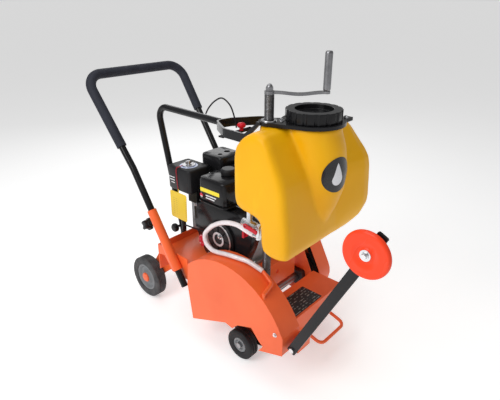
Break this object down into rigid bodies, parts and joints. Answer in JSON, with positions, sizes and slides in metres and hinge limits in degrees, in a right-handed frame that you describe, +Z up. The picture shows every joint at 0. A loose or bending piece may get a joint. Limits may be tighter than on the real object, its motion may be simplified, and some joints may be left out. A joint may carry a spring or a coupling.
{
  "type": "walk-behind concrete saw",
  "caption": "Walk-behind concrete saw with petrol engine, water tank, blade guard, crank-lowered front wheels, push handle and front pointer.",
  "frame": {"origin": "centre of the bounding box in X and Y, at the level the wheels stand on", "axes": "+Z up, -Y the way the saw travels, -X the blade side"},
  "size_m": [0.5322, 1.224, 1.0356],
  "materials": {
    "painted_steel": "gloss orange powder coat",
    "tank_plastic": "moulded yellow polyethylene",
    "black_steel": "gloss black powder coat",
    "black_plastic": "satin black",
    "foam": "closed-cell foam",
    "tyre": "grooved rubber",
    "belt_rubber": "ribbed belt rubber",
    "grey_plastic": "moulded grey",
    "zinc_steel": "bright zinc plate",
    "steel": "ground steel",
    "cast_iron": "dark cast iron",
    "engine_alloy": "die-cast",
    "red_plastic": "gloss red",
    "disc_plastic": "gloss red-orange",
    "hose": "milky clear PVC",
    "tag_paper": "coated yellow card"
  },
  "bodies": {
    "machine": {"chassis": "painted_steel", "rear_axle": "steel", "carriage_pivot_shaft": "steel", "crank_post": "steel", "water_tank": "tank_plastic", "tank_bracket": "black_steel", "lift_tube": "black_steel", "water_valve": "zinc_steel", "water_hose": "hose", "water_pipe": "painted_steel", "blade_guard": "painted_steel", "bearing_right": "cast_iron", "bearing_left": "cast_iron", "drive_belt": "belt_rubber", "belt_guard": "painted_steel", "engine_block": "engine_alloy", "engine_cylinder": "engine_alloy", "fan_shroud": "black_steel", "recoil_cover": "black_plastic", "fuel_tank": "black_steel", "air_cleaner": "black_plastic", "muffler": "black_steel", "control_cable": "black_plastic"},
    "handle": {"handle_tube": "black_steel", "handle_foam": "foam"},
    "knob_right": {"clamp_knob_right": "black_plastic"},
    "knob_left": {"clamp_knob_left": "black_plastic"},
    "rear_right": {"rear_tyre_right": "tyre", "rear_rim_right": "grey_plastic", "rear_cap_right": "painted_steel"},
    "rear_left": {"rear_tyre_left": "tyre", "rear_rim_left": "grey_plastic", "rear_cap_left": "painted_steel"},
    "carriage": {"front_carriage": "black_steel", "front_axle": "steel"},
    "front_right": {"front_wheel_right": "tyre", "front_hub_right": "grey_plastic"},
    "front_left": {"front_wheel_left": "tyre", "front_hub_left": "grey_plastic"},
    "crank": {"lead_screw": "zinc_steel", "crank_arm": "zinc_steel", "crank_nut": "zinc_steel"},
    "grip": {"crank_grip": "zinc_steel"},
    "filler_cap": {"tank_cap": "black_plastic"},
    "valve_handle": {"valve_lever": "red_plastic"},
    "blade_spindle": {"blade_shaft": "steel", "blade_flange": "steel", "arbor_nut": "zinc_steel", "shaft_pulley": "cast_iron"},
    "crankshaft": {"engine_crankshaft": "steel"},
    "starter_grip": {"recoil_grip": "black_plastic"},
    "petrol_cap": {"fuel_cap": "black_plastic"},
    "cleaner_knob": {"air_cleaner_knob": "grey_plastic"},
    "ignition_switch": {"engine_switch": "red_plastic"},
    "kill_button": {"stop_button": "red_plastic"},
    "tag": {"hang_tag": "tag_paper"},
    "pointer": {"pointer_arm": "black_steel", "pointer_bolt": "zinc_steel"},
    "marker": {"pointer_disc": "disc_plastic", "disc_bolt": "zinc_steel"}
  },
  "joints": [
    {"name": "handle_slide", "type": "slide", "parent": "machine", "child": "handle", "axis": [0, 0.5366, 0.8438], "range_m": [0, 0.15]},
    {"name": "knob_right_turn", "type": "hinge", "parent": "machine", "child": "knob_right", "pos_m": [-0.23388, 0.30814, 0.40465], "axis": [0, 0.8434, -0.5373], "range_deg": [0, 720]},
    {"name": "knob_left_turn", "type": "hinge", "parent": "machine", "child": "knob_left", "pos_m": [0.16412, 0.30814, 0.40465], "axis": [0, 0.8434, -0.5373], "range_deg": [0, 720]},
    {"name": "rear_wheel_right_spin", "type": "hinge", "parent": "machine", "child": "rear_right", "pos_m": [-0.16988, 0.44205, 0.088], "axis": [1, 0, 0], "continuous": true},
    {"name": "rear_wheel_left_spin", "type": "hinge", "parent": "machine", "child": "rear_left", "pos_m": [0.10012, 0.44205, 0.088], "axis": [1, 0, 0], "continuous": true},
    {"name": "crank_turn", "type": "hinge", "parent": "machine", "child": "crank", "pos_m": [-0.12888, -0.16595, 0.928], "axis": [0, 0, -1], "range_deg": [0, 4932]},
    {"name": "carriage_lower", "type": "hinge", "parent": "machine", "child": "carriage", "pos_m": [-0.03488, 0.09905, 0.128], "axis": [1, 0, 0], "range_deg": [0, 30]},
    {"name": "front_wheel_right_spin", "type": "hinge", "parent": "carriage", "child": "front_right", "pos_m": [-0.17788, -0.10495, 0.056], "axis": [1, 0, 0], "continuous": true},
    {"name": "front_wheel_left_spin", "type": "hinge", "parent": "carriage", "child": "front_left", "pos_m": [0.10812, -0.10495, 0.056], "axis": [1, 0, 0], "continuous": true},
    {"name": "crank_grip_spin", "type": "hinge", "parent": "crank", "child": "grip", "pos_m": [-0.02488, -0.28095, 0.981], "axis": [0, 0, 1], "continuous": true},
    {"name": "tank_cap_turn", "type": "hinge", "parent": "machine", "child": "filler_cap", "pos_m": [-0.03488, -0.25095, 0.866], "axis": [0, 0, 1], "range_deg": [0, 720]},
    {"name": "valve_turn", "type": "hinge", "parent": "machine", "child": "valve_handle", "pos_m": [-0.19788, -0.13795, 0.536], "axis": [1, 0, 0], "range_deg": [0, 90]},
    {"name": "blade_shaft_spin", "type": "hinge", "parent": "machine", "child": "blade_spindle", "pos_m": [-0.03488, -0.08395, 0.164], "axis": [1, 0, 0], "continuous": true},
    {"name": "crankshaft_spin", "type": "hinge", "parent": "machine", "child": "crankshaft", "pos_m": [0.16512, 0.04505, 0.397], "axis": [1, 0, 0], "continuous": true},
    {"name": "starter_pull", "type": "slide", "parent": "machine", "child": "starter_grip", "axis": [0, 0.9968, -0.0804], "range_m": [0, 0.3], "stiffness_N_per_m": 30, "springref_m": -0.1},
    {"name": "fuel_cap_turn", "type": "hinge", "parent": "machine", "child": "petrol_cap", "pos_m": [-0.06488, 0.06205, 0.624], "axis": [0, 0, 1], "range_deg": [0, 90]},
    {"name": "cleaner_knob_turn", "type": "hinge", "parent": "machine", "child": "cleaner_knob", "pos_m": [-0.09288, 0.23605, 0.62], "axis": [0, 0, 1], "range_deg": [0, 720]},
    {"name": "switch_turn", "type": "hinge", "parent": "machine", "child": "ignition_switch", "pos_m": [-0.12888, -0.07195, 0.458], "axis": [1, 0, 0], "range_deg": [0, 60]},
    {"name": "stop_press", "type": "slide", "parent": "machine", "child": "kill_button", "axis": [0, 0, -1], "range_m": [0, 0.004], "stiffness_N_per_m": 800, "springref_m": -0.002},
    {"name": "tag_swing", "type": "hinge", "parent": "machine", "child": "tag", "pos_m": [-0.13988, 0.24605, 0.528], "axis": [1, 0, 0], "range_deg": [-25, 25]},
    {"name": "pointer_fold", "type": "hinge", "parent": "machine", "child": "pointer", "pos_m": [-0.20888, -0.34195, 0.191], "axis": [1, 0, 0], "range_deg": [-20, 79]},
    {"name": "pointer_disc_spin", "type": "hinge", "parent": "pointer", "child": "marker", "pos_m": [-0.22488, -0.54895, 0.615], "axis": [1, 0, 0], "continuous": true}
  ],
  "couplings": [
    {"joint": "carriage_lower", "follows": "crank_turn", "ratio": 0.0060827},
    {"joint": "crankshaft_spin", "follows": "blade_shaft_spin", "ratio": 1.2}
  ]
}
